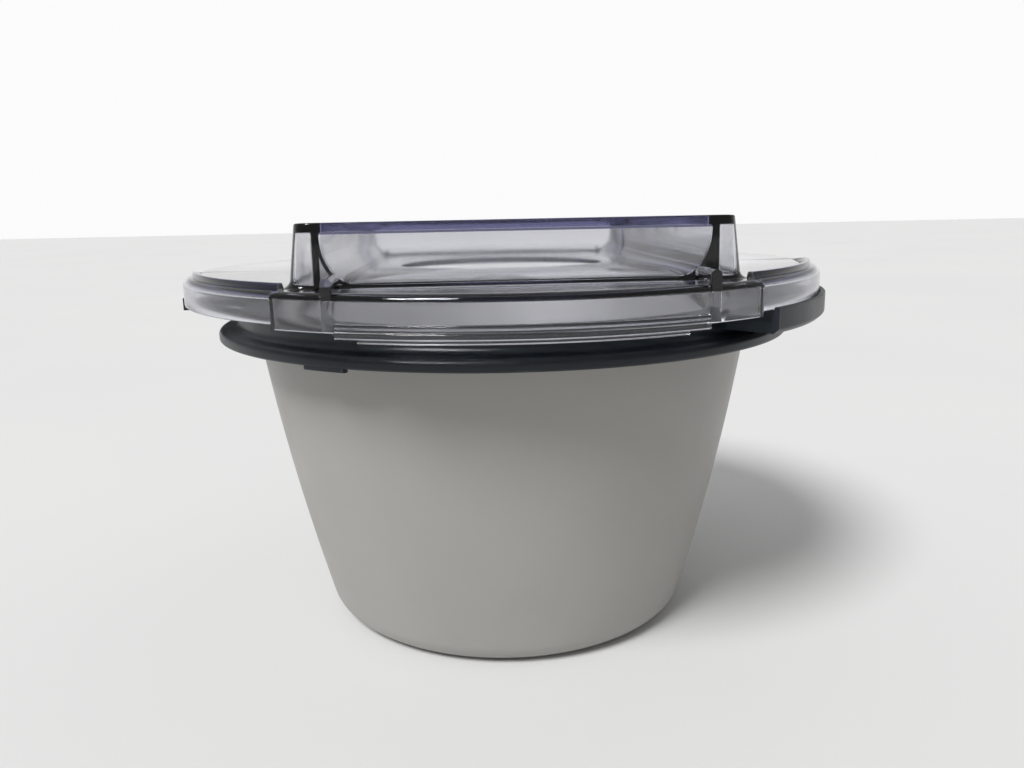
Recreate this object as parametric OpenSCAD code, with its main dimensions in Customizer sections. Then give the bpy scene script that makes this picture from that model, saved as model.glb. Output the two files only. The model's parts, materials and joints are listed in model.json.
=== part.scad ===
// Freezer-bowl ice cream maker attachment for a stand mixer: a double-walled
// cold bowl, an adapter ring that carries it, a stirrer and a clear lid.
// Origin at the centre of the bowl's underside, +Z up, front lip of the lid towards -Y.

/* [Bowl] */
// Height of the outer shell, floor to top edge
bowl_h = 111.2; // [90:0.1:135]
// Outer radius at the top edge of the shell
bowl_top_r = 91.4; // [84:0.1:110]
// Outer radius where side wall and floor planes would meet
bowl_bottom_r = 67.8; // [62:0.1:78]
// How far the side wall swells beyond a straight cone
side_bulge = 1.6; // [0:0.1:3]
// Radius of the rounded foot of the shell
foot_fillet = 10.6; // [6:0.1:14]
// Wall thickness of the outer shell
shell_wall = 2.5; // [1.8:0.1:3.5]
// Room for the coolant between the liner and the shell wall
coolant_gap = 9.4; // [6:0.1:12]
// Room for the coolant under the liner floor
coolant_floor_gap = 10.5; // [6:0.1:16]
// Sheet thickness of the inner liner
liner_wall = 1.5; // [1:0.1:2.5]
// Corner radius inside the liner, at its floor
liner_fillet = 10; // [6:0.5:14]

/* [Rim and seals] */
// How far the rim cap stands out past the shell
cap_overhang = 0.8; // [0.3:0.1:1.5]
// Thickness of the rim cap
cap_t = 2.6; // [2:0.1:4]
// Height of the rim cap's short outer skirt
cap_skirt_h = 0.8; // [0.5:0.1:2]
// Thickness of the seal on the shell's top edge
shell_seal_t = 0.8; // [0.5:0.1:1.5]
// Thickness of the seal on the liner's rim
rim_seal_t = 0.9; // [0.5:0.1:1.5]
// Radial depth of the bayonet lugs
lug_depth = 2.2; // [1.5:0.1:3]
// Width of each bayonet lug in degrees
lug_angle = 14; // [8:1:18]

/* [Adapter ring] */
// Wall thickness of the ring
ring_wall = 2.3; // [1.8:0.1:3.5]
// Width of the flange that rests on the mixing bowl
flange_w = 7.4; // [5:0.1:12]
// Thickness of the flange
flange_t = 3.7; // [2.5:0.1:5]
// Height of the ring, from flange underside to top
ring_h = 10.7; // [9:0.1:14]
// Thickness of the ledge that bears on the bowl's rim
ledge_t = 1.8; // [1.5:0.1:3]
// Thickness of the gasket under the ledge
ring_gasket_t = 0.8; // [0.5:0.1:1.5]
// Width of each grip in degrees
grip_angle = 58; // [40:1:70]
// Height of the grips
grip_h = 7; // [5:0.1:9]
// How far the grips' top stands above the ring
grip_rise = 2.5; // [1:0.1:4]
// Height of the grips' raised outer edge that locates the lid
grip_edge_h = 0.9; // [0.5:0.1:1.5]
// Depth of the locating tabs below the flange
tab_drop = 1.1; // [0.8:0.1:4]
// Width of each locating tab in degrees
tab_angle = 8; // [5:1:12]

/* [Lid] */
// How far the lid reaches out past the ring's flange
lid_overhang = 10.4; // [9:0.1:16]
// Wall thickness of the lid
lid_wall = 2.2; // [1.8:0.1:3]
// Height of the lid's skirt, seat to top of plate
skirt_h = 9.5; // [8:0.1:14]
// Radius of the lid's rounded shoulder
shoulder_r = 3; // [2:0.1:4]
// How far the front bulge stands out past the skirt
bulge_out = 2.5; // [1.5:0.1:4]
// How far the bulge hangs below the skirt
bulge_drop = 1; // [0:0.1:2]
// Width of the raised drive well, outside
well_w = 124.4; // [100:0.1:126]
// Room between the well's front corners and the bulge's face
front_land = 7.3; // [5:0.1:12]
// Length of the raised drive well, front to back
well_l = 155; // [125:1:175]
// Height of the well's front above the plate
well_h = 18; // [16:0.5:26]
// How far the well's top edge falls towards the back
well_fall = 8; // [0:0.5:10]
// Radius of the well's upright outer corners
well_corner_r = 3.5; // [3.5:0.5:9]
// Width of the well's hollow side walls
well_side_w = 7.1; // [6.5:0.1:9]
// Radius of the long coves inside the well
cove_r = 14; // [8:0.5:15]
// Radius of the opening for the mixer's drive
drive_opening_r = 38; // [26:1:38]
// Width of the front lip
lip_w = 98; // [70:1:99]
// How far the lip stands out past the bulge
lip_out = 1.6; // [1:0.1:3]

/* [Stirrer] */
// Gap between the stirrer and the liner
stir_gap = 1.2; // [0.8:0.1:2]
// Thickness of the blades
blade_t = 3.6; // [2.5:0.1:5]
// Width of the side bars of the blades
blade_bar_w = 14; // [10:1:18]
// Radius of the hub
hub_r = 11; // [10:0.5:14]
// Radius of the drive socket
socket_r = 5; // [4:0.1:6]
// Depth of the drive socket
socket_depth = 14; // [10:0.5:16]
// Radius of the pivot pin in the bowl
pin_r = 4; // [3:0.1:5]
// Length of the pivot pin above its foot
pin_h = 14; // [10:0.5:18]

/* [Hidden] */
$fn = 96;

// Fits and clearances
eps = 0.01;               // overlap that joins shapes of one piece
run_clear = 0.05;         // radial gap of a running fit
seat_clear = 0.02;        // radial gap of a glued or pressed seat
turn_clear = 0.5;         // radial gap between ring and bowl rim
lug_clear = 0.4;          // gap over a bayonet lug
gel_clear = 0.3;          // the sealed fill stays off its walls
lid_clear = 0.4;          // radial gap between skirt and grips' edge
liner_tuck = 2.8;         // the liner's foot stands this much further in than its wall

// Stack of heights
cap_skirt_z = bowl_h + shell_seal_t;
cap_under_z = cap_skirt_z + cap_skirt_h;
cap_top_z = cap_under_z + cap_t;
ledge_z = cap_top_z + ring_gasket_t;
ring_top_z = ledge_z + ledge_t;
flange_z = ring_top_z - ring_h;
seat_z = ring_top_z + grip_rise;
plate_z = seat_z + skirt_h;
well_top_z = plate_z + well_h;
liner_top_z = cap_under_z - rim_seal_t;
liner_out_z = shell_wall + coolant_floor_gap;
liner_floor_z = liner_out_z + liner_wall;

// Radii
liner_top_r = bowl_top_r - shell_wall - coolant_gap - liner_wall;
liner_bottom_r = bowl_bottom_r - shell_wall - liner_wall - liner_tuck;
tongue_r = bowl_top_r - shell_wall - 1.6;
tongue_in_r = tongue_r - 1.6;
liner_rim_r = tongue_in_r - 0.3;
cap_r = bowl_top_r + cap_overhang;
cap_lug_r = cap_r + lug_depth;
ring_in_r = cap_lug_r + turn_clear;
ring_out_r = ring_in_r + ring_wall;
flange_r = ring_out_r + flange_w;
lid_r = flange_r + lid_overhang;
bulge_r = lid_r + bulge_out;
grip_r = lid_r + 2;

// Angles from the front, counter-clockwise seen from above
well_half = well_w / 2;
bulge_half_a = asin(well_half / bulge_r) + 5;
grip_start_a = bulge_half_a + 3;
lug_count = 3;
lug_stop_a = 2;           // width of the bayonet stops
lug_gap_a = 0.3;          // play at the bayonet stops
tab_a = -32.6;            // place of the first locating tab

// Well and pivot
well_front_y = -sqrt(pow(bulge_r - front_land, 2) - well_half * well_half);
well_in_half = well_half - well_side_w;
well_fall_a = atan(well_fall / well_l);
cove_x = well_in_half - cove_r;
rib_x = well_half - 10.8;
rib_w = 3;
rib_rise = 4;             // ribs end this far above the plate
plug_r = 6;
plug_y = 34;
pin_foot_r = 9;
pin_foot_t = 1.5;
washer_t = 0.6;
pin_foot_z = liner_floor_z + pin_foot_t;
stir_z = pin_foot_z + washer_t;
bush_wall = 2;
bush_h = pin_h - 3;
coupling_r = 8;
coupling_top_z = bowl_h - 12;
hub_top_z = coupling_top_z - 9;
blade_top_z = hub_top_z - 4;
cross_pin_r = 1.5;
coupling_low_z = coupling_top_z - socket_depth - 10;
cross_pin_z = coupling_low_z + 5;

// Side of a cup from its rounded foot to its rim: [radius, height] points.
// r0 is where wall and floor planes meet, rf the foot's radius, bulge the swell.
function cup_side(r0, r1, z0, z1, rf, bulge, n = 14) =
    let (a = atan((r1 - r0) / (z1 - z0)) + atan(4 * bulge / (z1 - z0)),
         rc = r0 - rf * (1 - sin(a)) / cos(a),
         p = [rc + rf * cos(a), z0 + rf * (1 - sin(a))],
         d = [r1, z1] - p)
    concat([for (i = [0:7]) let (t = -90 + (90 - a) * i / 8) [rc + rf * cos(t), z0 + rf * (1 + sin(t))]],
           [for (i = [0:n]) let (t = i / n) [p[0] + d[0] * t + 4 * bulge * t * (1 - t), p[1] + d[1] * t]]);

// Points on an arc about [x, y], from angle a0 to a1
function arc_points(x, y, r, a0, a1, n = 8) =
    [for (i = [0:n]) let (a = a0 + (a1 - a0) * i / n) [x + r * cos(a), y + r * sin(a)]];

// The same list from rim to foot
function turned(list) = [for (i = [len(list) - 1:-1:0]) list[i]];

function shell_side(inset, top) =
    cup_side(bowl_bottom_r - inset, bowl_top_r - inset, inset, top, foot_fillet - inset, side_bulge);
function liner_side(inset, top) =
    cup_side(liner_bottom_r - inset, liner_top_r - inset, liner_floor_z + inset, top, liner_fillet - inset, 0);

module ring(r_in, r_out, z, h) {
    translate([0, 0, z]) difference() {
        cylinder(r = r_out, h = h);
        translate([0, 0, -eps]) cylinder(r = r_in, h = h + 2 * eps);
    }
}

// Ring sector from r_in to r_out, centred on angle a from the front
module sector(r_in, r_out, z, h, a, width) {
    rotate([0, 0, -90 + a - width / 2]) rotate_extrude(angle = width)
        translate([r_in, z]) square([r_out - r_in, h]);
}

module rounded_rect(w, l, r) {
    polygon(concat(
        arc_points(w / 2 - r, l / 2 - r, r, 0, 90), arc_points(r - w / 2, l / 2 - r, r, 90, 180),
        arc_points(r - w / 2, r - l / 2, r, 180, 270), arc_points(w / 2 - r, r - l / 2, r, 270, 360)));
}

module bowl_outer_shell() {
    color("gainsboro") difference() {
        rotate_extrude() polygon(concat([[0, 0]], shell_side(0, bowl_h),
            turned(shell_side(shell_wall, bowl_h)), [[0, shell_wall]]));
        translate([0, plug_y, -eps]) cylinder(r = plug_r + seat_clear, h = shell_wall + 2 * eps);
    }
}

module bowl_inner_liner() {
    color("silver") {
        rotate_extrude() polygon(concat([[0, liner_out_z]], liner_side(-liner_wall, liner_top_z),
            turned(liner_side(0, liner_top_z)), [[0, liner_floor_z]]));
        ring(liner_top_r + liner_wall / 2, liner_rim_r, liner_top_z - liner_wall, liner_wall);
    }
}

module bowl_rim_cap() {
    tongue_h = 5;
    color("gainsboro") {
        ring(liner_top_r - 1, cap_r, cap_under_z, cap_t);
        ring(bowl_top_r - shell_wall, cap_r, cap_skirt_z, cap_skirt_h + eps);
        ring(tongue_in_r, tongue_r, cap_under_z - tongue_h, tongue_h + eps);
        for (i = [0:lug_count - 1])
            sector(cap_r - 1, cap_lug_r, cap_under_z, cap_t - 0.4, i * 360 / lug_count, lug_angle);
    }
}

module shell_seal() {
    color("dimgray") ring(bowl_top_r - shell_wall, bowl_top_r - 0.3, bowl_h, shell_seal_t);
}

module rim_seal() {
    color("dimgray") ring(liner_top_r + liner_wall, liner_rim_r - 0.5, liner_top_z, rim_seal_t);
}

// Sealed cooling fill, with room to swell under the rim
module coolant_gel() {
    fill_top = bowl_h - 9;
    outer = shell_wall + gel_clear;
    color("lightblue") difference() {
        rotate_extrude() polygon(concat([[0, outer]], shell_side(outer, bowl_h),
            turned(liner_side(-liner_wall - gel_clear, liner_top_z)), [[0, liner_out_z - gel_clear]]));
        translate([0, 0, fill_top]) cylinder(r = bowl_top_r, h = bowl_h);
        translate([0, plug_y, 0]) cylinder(r = plug_r + 4, h = shell_wall + 3.5);
    }
}

module fill_plug() {
    color("gainsboro") translate([0, plug_y, 0.4]) {
        cylinder(r = plug_r, h = shell_wall - 0.4);
        translate([0, 0, shell_wall - 0.4]) cylinder(r = plug_r - 1.5, h = 2);
    }
}

module fill_plug_seal() {
    color("dimgray") translate([0, plug_y, 0])
        ring(plug_r - 1.5 + seat_clear, plug_r + 1.5, shell_wall, 1.4);
}

module pivot_pin() {
    color("silver") {
        translate([0, 0, liner_floor_z]) cylinder(r = pin_foot_r, h = pin_foot_t);
        translate([0, 0, pin_foot_z - eps]) cylinder(r = pin_r, h = pin_h - 1 + eps);
        translate([0, 0, pin_foot_z + pin_h - 1 - eps]) cylinder(r1 = pin_r, r2 = pin_r - 1, h = 1 + eps);
    }
}

module pivot_washer() {
    color("white") ring(pin_r + run_clear, pin_r + 3, pin_foot_z, washer_t);
}

module adapter_ring() {
    color("#2a323c") {
        // wall, ledge and flange in one turned section
        rotate_extrude() polygon([
            [ring_in_r, flange_z], [flange_r - 0.8, flange_z], [flange_r, flange_z + 0.8],
            [flange_r, flange_z + flange_t - 1.5], [flange_r - 1.5, flange_z + flange_t],
            [ring_out_r + 2, flange_z + flange_t + 0.5], [ring_out_r, flange_z + flange_t + 2.5],
            [ring_out_r, ring_top_z - 1], [ring_out_r - 1, ring_top_z],
            [cap_r - 7, ring_top_z], [cap_r - 7, ledge_z], [ring_in_r, ledge_z]]);
        for (i = [0:lug_count - 1]) bayonet_lug(i * 360 / lug_count);
        for (side = [0, 180]) {
            grip(side);
            sector(flange_r - 2.4, flange_r, flange_z - tab_drop, tab_drop + 1, tab_a + side, tab_angle);
        }
    }
}

// Lug under the rim cap's lug, with the stop that ends the turn
module bayonet_lug(a) {
    lug_z = cap_under_z - lug_clear;
    lug_h = 2.2;
    stop_mid = a + lug_angle / 2 + lug_gap_a + lug_stop_a / 2;
    sector(cap_r + turn_clear, ring_in_r + 1, lug_z - lug_h, lug_h, a, lug_angle);
    sector(cap_r + turn_clear, ring_in_r + 1, lug_z - lug_h, ledge_z - lug_z + lug_h + eps, stop_mid, lug_stop_a);
}

module grip(side) {
    mid = side + grip_start_a + grip_angle / 2;
    pocket_h = grip_h / 2;
    difference() {
        union() {
            sector(ring_out_r - 1, lid_r + lid_clear + eps, seat_z - grip_h, grip_h, mid, grip_angle);
            sector(lid_r + lid_clear, grip_r, seat_z - grip_h + 1, grip_h + grip_edge_h - 1, mid, grip_angle);
        }
        sector(ring_out_r + 2.3, grip_r - 3, seat_z - grip_h - eps, pocket_h, mid, grip_angle - 3);
        // the ledge keeps its own height behind the raised grip
        translate([0, 0, ring_top_z]) cylinder(r = ring_out_r - 0.9, h = grip_rise + eps);
    }
}

module ring_gasket() {
    color("dimgray") ring(cap_r - 6.5, cap_r - 1.5, cap_top_z, ring_gasket_t);
}

// Half section of a disc with a rounded shoulder
module disc_section(r_in, r, top, bottom) {
    polygon(concat([[r_in, top]], arc_points(r - shoulder_r, top - shoulder_r, shoulder_r, 90, 0),
        [[r, bottom], [r_in, bottom]]));
}

// One clear moulding: plate and skirt, front bulge, drive well, ribs and lip
module lid() {
    web_a = 1.1;
    bulge_low = 0.2;      // the bulge's top lies this far under the plate
    color("lightsteelblue", 0.5) {
        difference() {
            union() {
                rotate_extrude() disc_section(0, lid_r, plate_z, seat_z);
                rotate([0, 0, -90 - bulge_half_a]) rotate_extrude(angle = 2 * bulge_half_a)
                    disc_section(well_half, bulge_r, plate_z - bulge_low, seat_z - bulge_drop);
                well_block();
                front_ribs();
                front_lip();
            }
            translate([0, 0, seat_z - 5]) cylinder(r = lid_r - lid_wall, h = skirt_h - lid_wall + 5);
            sector(well_half, bulge_r - lid_wall, seat_z - 5, skirt_h - lid_wall - bulge_low + 5, 0,
                2 * (bulge_half_a - web_a));
            trough();
            side_hollows();
            translate([0, 0, seat_z]) cylinder(r = drive_opening_r, h = well_h);
        }
        ring(drive_opening_r - 0.6, drive_opening_r + 1.6, plate_z - 1.4, 2.6);
    }
}

// Block that the trough leaves as upright walls; its top falls from front to back
module well_block() {
    translate([0, well_front_y + well_l / 2, 0]) difference() {
        translate([0, 0, plate_z - lid_wall / 2]) linear_extrude(well_h + lid_wall / 2)
            rounded_rect(well_w, well_l, well_corner_r);
        translate([0, -well_l / 2, well_top_z]) rotate([-well_fall_a, 0, 0])
            translate([-well_w, -1, 0]) cube([2 * well_w, well_l * 1.2, well_h]);
    }
}

// Slot in each side wall and duct under each cove, all open at the back
module side_hollows() {
    web = 1.8;
    roof = 2.6;           // solid rim over the slots
    low = plate_z + 0.8;
    slot_w = well_side_w - 2 * web;
    duct_r = cove_r + 1.4;
    front_y = well_front_y + lid_wall + 0.6;
    back_y = well_front_y + well_l + 1;
    roof_fall = (back_y - front_y) * tan(well_fall_a);
    duct_x = well_in_half - 0.1;
    tip_a = acos((duct_x - cove_x) / duct_r);
    foot_a = asin((plate_z + cove_r - low) / duct_r);
    for (s = [-1, 1]) {
        translate([s * (well_in_half + web + slot_w / 2) - slot_w / 2, 0, 0])
            rotate([90, 0, 90]) linear_extrude(slot_w)
            polygon([[front_y, low], [back_y, low], [back_y, well_top_z - roof - roof_fall],
                [front_y, well_top_z - roof]]);
        mirror([s < 0 ? 1 : 0, 0, 0]) translate([0, back_y, 0]) rotate([90, 0, 0])
            linear_extrude(back_y - front_y)
            polygon(concat(arc_points(cove_x, plate_z + cove_r, duct_r, -foot_a, -tip_a), [[duct_x, low]]));
    }
}

// Room for the nose of the mixer's arm, with a long cove along each side
module trough() {
    toe_a = 12;           // the coves end in a low step at the floor
    toe_x = cove_x + cove_r * sin(toe_a);
    floor_cut = 0.4;      // the floor lies this far under the plate
    translate([0, well_front_y + well_l / 2, 0]) intersection() {
        translate([0, 0, plate_z - 1]) linear_extrude(well_h + 3)
            rounded_rect(2 * well_in_half, well_l - 2 * lid_wall, well_corner_r - lid_wall);
        rotate([90, 0, 0]) translate([0, plate_z, -well_l / 2]) linear_extrude(well_l)
            polygon(concat([[-well_in_half - 1, well_h + 3], [-well_in_half - 1, cove_r]],
                arc_points(-cove_x, cove_r, cove_r, 180, 270 - toe_a),
                [[-toe_x, -floor_cut], [toe_x, -floor_cut]],
                arc_points(cove_x, cove_r, cove_r, 270 + toe_a, 360),
                [[well_in_half + 1, cove_r], [well_in_half + 1, well_h + 3]]));
    }
}

// Two upright ribs that brace the well against the skirt
module front_ribs() {
    face_y = -sqrt(bulge_r * bulge_r - rib_x * rib_x) - 0.6;
    rib_l = well_front_y + 1 - face_y;
    low_z = plate_z - shoulder_r - 1;
    top_z = plate_z + rib_rise - rib_w / 2;
    skirt_z = seat_z - bulge_drop + 0.3;
    for (s = [-1, 1]) translate([s * rib_x, face_y, 0]) {
        translate([-rib_w / 2, 0, low_z]) cube([rib_w, rib_l, top_z - low_z]);
        translate([0, rib_l, top_z]) rotate([90, 0, 0]) cylinder(r = rib_w / 2, h = rib_l);
        translate([-rib_w / 2, 0, skirt_z]) cube([rib_w, 1.6, low_z - skirt_z + 0.5]);
    }
}

// Stepped lip for lifting the lid
module front_lip() {
    lip_top = seat_z + 1.8;
    lip_h = 4;
    step_h = 1.1;
    step_in = 1;
    lip_a = 2 * asin(lip_w / 2 / bulge_r);
    step_a = lip_a - 5.4;
    sector(bulge_r - 1, bulge_r + lip_out, lip_top - lip_h, lip_h, 0, lip_a);
    sector(bulge_r - 1.2, bulge_r + lip_out - step_in, lip_top - lip_h - step_h, step_h + 0.4, 0, step_a);
}

// Radius of the liner's wall at height z
function liner_r(z) =
    liner_bottom_r + (liner_top_r - liner_bottom_r) * (z - liner_floor_z) / (liner_top_z - liner_floor_z);

module blade() {
    side = cup_side(liner_bottom_r - stir_gap, liner_r(blade_top_z) - stir_gap, stir_z, blade_top_z, liner_fillet, 0);
    win_x = hub_r + 4;
    win_z0 = stir_z + 14;
    win_z1 = blade_top_z - 12;
    rotate([90, 0, 0]) translate([0, 0, -blade_t / 2]) linear_extrude(blade_t) difference() {
        polygon(concat([[hub_r - 3, stir_z]], side, [[hub_r - 3, blade_top_z]]));
        polygon([[win_x, win_z0], [liner_r(win_z0) - stir_gap - blade_bar_w, win_z0],
            [liner_r(win_z1) - stir_gap - blade_bar_w, win_z1], [win_x, win_z1]]);
    }
}

module stirrer_paddle() {
    bore_r = pin_r + run_clear + bush_wall + seat_clear;
    color("white") difference() {
        union() {
            translate([0, 0, stir_z]) cylinder(r = hub_r, h = hub_top_z - stir_z);
            for (side = [0, 180]) rotate([0, 0, side]) blade();
        }
        translate([0, 0, stir_z - 1]) cylinder(r = bore_r, h = bush_h + 1);
        translate([0, 0, stir_z + bush_h - eps]) cylinder(r = pin_r + 0.5, h = 5);
        translate([0, 0, coupling_low_z]) cylinder(r = coupling_r + seat_clear, h = hub_top_z);
        translate([0, 0, cross_pin_z]) rotate([90, 0, 0])
            cylinder(r = cross_pin_r + seat_clear, h = 3 * hub_r, center = true);
    }
}

module pivot_bush() {
    color("white") ring(pin_r + run_clear, pin_r + run_clear + bush_wall, stir_z, bush_h);
}

// Metal driver that takes the mixer's shaft
module drive_coupling() {
    color("silver") difference() {
        union() {
            translate([0, 0, coupling_low_z]) cylinder(r = coupling_r, h = coupling_top_z - coupling_low_z);
            translate([0, 0, hub_top_z]) cylinder(r = hub_r - 0.5, h = 2);
        }
        translate([0, 0, coupling_top_z - socket_depth]) cylinder(r = socket_r, h = socket_depth + 1);
        translate([0, 0, cross_pin_z]) rotate([90, 0, 0])
            cylinder(r = cross_pin_r + seat_clear, h = 3 * hub_r, center = true);
    }
}

module coupling_pin() {
    color("silver") translate([0, 0, cross_pin_z]) rotate([90, 0, 0])
        cylinder(r = cross_pin_r, h = 2 * hub_r - 1, center = true);
}

bowl_outer_shell();
bowl_inner_liner();
bowl_rim_cap();
shell_seal();
rim_seal();
coolant_gel();
fill_plug();
fill_plug_seal();
pivot_pin();
pivot_washer();
adapter_ring();
ring_gasket();
lid();
stirrer_paddle();
pivot_bush();
drive_coupling();
coupling_pin();
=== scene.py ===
import bpy
import bmesh
import json
import math
from mathutils import Matrix, Vector


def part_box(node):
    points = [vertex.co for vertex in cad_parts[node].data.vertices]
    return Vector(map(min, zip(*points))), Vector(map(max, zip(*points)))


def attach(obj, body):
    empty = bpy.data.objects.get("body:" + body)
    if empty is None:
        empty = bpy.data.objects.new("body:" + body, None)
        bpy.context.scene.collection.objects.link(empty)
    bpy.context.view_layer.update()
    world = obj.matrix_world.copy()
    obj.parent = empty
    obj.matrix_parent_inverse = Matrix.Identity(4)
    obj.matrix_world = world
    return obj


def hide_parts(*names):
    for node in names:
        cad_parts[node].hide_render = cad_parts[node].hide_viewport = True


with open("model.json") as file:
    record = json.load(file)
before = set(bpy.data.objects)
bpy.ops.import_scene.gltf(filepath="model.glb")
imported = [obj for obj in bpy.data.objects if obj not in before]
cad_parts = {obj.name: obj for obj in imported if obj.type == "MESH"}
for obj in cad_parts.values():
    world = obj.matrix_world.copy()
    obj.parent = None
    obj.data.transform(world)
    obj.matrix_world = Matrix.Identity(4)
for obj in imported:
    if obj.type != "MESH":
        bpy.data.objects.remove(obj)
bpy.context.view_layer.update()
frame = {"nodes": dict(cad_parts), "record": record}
MM = 0.001
scene = bpy.context.scene

# ---------------------------------------------------------------- camera
# The eye stands a little above the lid's rim, close to the object and slightly to its left.
EYE_DISTANCE = 0.330
EYE_HEIGHT = 0.151
EYE_AZIMUTH = math.radians(-3.1)
EYE_PITCH = math.radians(11.66)
EYE_ROLL = math.radians(1.12)
LENS_MM = 30.02
FRAME_SHIFT = 0.0083


def add_camera():
    cp, sp = math.cos(EYE_PITCH), math.sin(EYE_PITCH)
    forward = Vector((0, cp, -sp))
    side, up = Vector((1, 0, 0)), Vector((0, sp, cp))
    right = math.cos(EYE_ROLL) * side - math.sin(EYE_ROLL) * up
    top = math.sin(EYE_ROLL) * side + math.cos(EYE_ROLL) * up
    turn = Matrix.Rotation(EYE_AZIMUTH, 4, "Z")
    basis = Matrix((right, top, -forward)).transposed().to_4x4()
    data = bpy.data.cameras.new("camera")
    data.sensor_width = 36
    data.lens = LENS_MM
    data.shift_x = FRAME_SHIFT
    data.clip_start = 0.01
    camera = bpy.data.objects.new("camera", data)
    camera.matrix_world = turn @ Matrix.Translation((0, -EYE_DISTANCE, EYE_HEIGHT)) @ basis
    scene.collection.objects.link(camera)
    scene.camera = camera


add_camera()

# ---------------------------------------------------------------- sizes read from the frame, in millimetres


def span(node):
    low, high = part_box(node)
    return low / MM, high / MM


_, SHELL_HIGH = span("bowl_outer_shell")
CAP_LOW, CAP_HIGH = span("bowl_rim_cap")
LINER_LOW, LINER_HIGH = span("bowl_inner_liner")
RING_LOW, RING_HIGH = span("adapter_ring")
_, LID_HIGH = span("lid")
PADDLE_LOW, PADDLE_HIGH = span("stirrer_paddle")
COUPLING_LOW, COUPLING_HIGH = span("drive_coupling")
GASKET_LOW, GASKET_HIGH = span("ring_gasket")

# ---------------------------------------------------------------- mesh helpers, all in millimetres


def link_mesh(name, verts, faces, smooth_angle=30):
    mesh = bpy.data.meshes.new(name)
    mesh.from_pydata([tuple(c * MM for c in v) for v in verts], [], faces)
    bm = bmesh.new()
    bm.from_mesh(mesh)
    bmesh.ops.remove_doubles(bm, verts=bm.verts, dist=1e-7)
    bmesh.ops.dissolve_degenerate(bm, edges=bm.edges, dist=1e-7)
    bmesh.ops.recalc_face_normals(bm, faces=bm.faces)
    bm.to_mesh(mesh)
    bm.free()
    obj = bpy.data.objects.new(name, mesh)
    scene.collection.objects.link(obj)
    shade(obj, smooth_angle)
    return obj


def shade(obj, angle=30):
    """Smooth shading that stays crisp at edges sharper than the angle."""
    mesh = obj.data
    mesh.polygons.foreach_set("use_smooth", [True] * len(mesh.polygons))
    mesh.set_sharp_from_angle(angle=math.radians(angle))


def arc(cx, cy, r, a0, a1, n=6):
    """Points on an arc about (cx, cy), angles in degrees."""
    return [(cx + r * math.cos(math.radians(a0 + (a1 - a0) * i / n)),
             cy + r * math.sin(math.radians(a0 + (a1 - a0) * i / n))) for i in range(n + 1)]


def rounded(points, n=5):
    """A closed outline of (x, y, radius) corners, with each corner turned into an arc."""
    out = []
    count = len(points)
    for i, (x, y, r) in enumerate(points):
        here = Vector((x, y))
        before = Vector(points[i - 1][:2]) - here
        after = Vector(points[(i + 1) % count][:2]) - here
        if r <= 0 or before.length < 1e-6 or after.length < 1e-6:
            out.append((x, y))
            continue
        half = before.angle(after) / 2
        if half < 0.02 or half > math.pi / 2 - 0.02:
            out.append((x, y))
            continue
        reach = min(r / math.tan(half), before.length * 0.49, after.length * 0.49)
        r = reach * math.tan(half)
        middle = here + (before.normalized() + after.normalized()).normalized() * (r / math.sin(half))
        start = here + before.normalized() * reach
        end = here + after.normalized() * reach
        a0 = math.atan2(start.y - middle.y, start.x - middle.x)
        a1 = math.atan2(end.y - middle.y, end.x - middle.x)
        turn = (a1 - a0 + math.pi) % (2 * math.pi) - math.pi
        for k in range(n + 1):
            a = a0 + turn * k / n
            out.append((middle.x + r * math.cos(a), middle.y + r * math.sin(a)))
    return out


def lathe(name, outline, segments=192, a0=0, a1=360, smooth_angle=30, lowest=None):
    """Turns a closed (radius, height) outline about Z; angles run from the front, counter-clockwise.
    lowest gives the height below which nothing hangs at a share of the sweep."""
    full = a1 - a0 >= 359.9
    rings = segments if full else segments + 1
    verts, faces = [], []
    for i in range(rings):
        a = math.radians(-90 + a0 + (a1 - a0) * i / segments)
        floor = lowest(i / segments) if lowest else -math.inf
        verts += [(r * math.cos(a), r * math.sin(a), z if z > floor else floor + (z - floor) * 0.02)
                  for r, z in outline]
    n = len(outline)
    for i in range(segments):
        j = (i + 1) % rings
        for k in range(n):
            m = (k + 1) % n
            faces.append((i * n + k, j * n + k, j * n + m, i * n + m))
    if not full:
        faces.append(tuple(range(n)))
        faces.append(tuple(reversed(range(segments * n, segments * n + n))))
    return link_mesh(name, verts, faces, smooth_angle)


def loft(name, loops, smooth_angle=30):
    """Joins closed loops of equal length, and the last loop to the first."""
    n = len(loops[0])
    verts = [p for one in loops for p in one]
    faces = []
    for i in range(len(loops)):
        j = (i + 1) % len(loops)
        for k in range(n):
            m = (k + 1) % n
            faces.append((i * n + k, j * n + k, j * n + m, i * n + m))
    return link_mesh(name, verts, faces, smooth_angle)


def prism(name, outline, low, high, axis="Z", smooth_angle=30):
    """A closed outline pushed along an axis: Z from (x, y) points, Y from (x, z) points."""
    def place(p, h):
        return (p[0], p[1], h) if axis == "Z" else (p[0], h, p[1])
    n = len(outline)
    verts = [place(p, low) for p in outline] + [place(p, high) for p in outline]
    faces = [tuple(range(n)), tuple(reversed(range(n, 2 * n)))]
    faces += [(k, (k + 1) % n, n + (k + 1) % n, n + k) for k in range(n)]
    return link_mesh(name, verts, faces, smooth_angle)


def join(name, parts, smooth_angle=30):
    """Puts several closed pieces of one moulding into one object."""
    bm = bmesh.new()
    for part in parts:
        bm.from_mesh(part.data)
        bpy.data.objects.remove(part)
    mesh = bpy.data.meshes.new(name)
    bm.to_mesh(mesh)
    bm.free()
    obj = bpy.data.objects.new(name, mesh)
    scene.collection.objects.link(obj)
    shade(obj, smooth_angle)
    return obj


def apply_modifiers(obj):
    depsgraph = bpy.context.evaluated_depsgraph_get()
    mesh = bpy.data.meshes.new_from_object(obj.evaluated_get(depsgraph))
    obj.modifiers.clear()
    obj.data = mesh
    return obj


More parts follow.
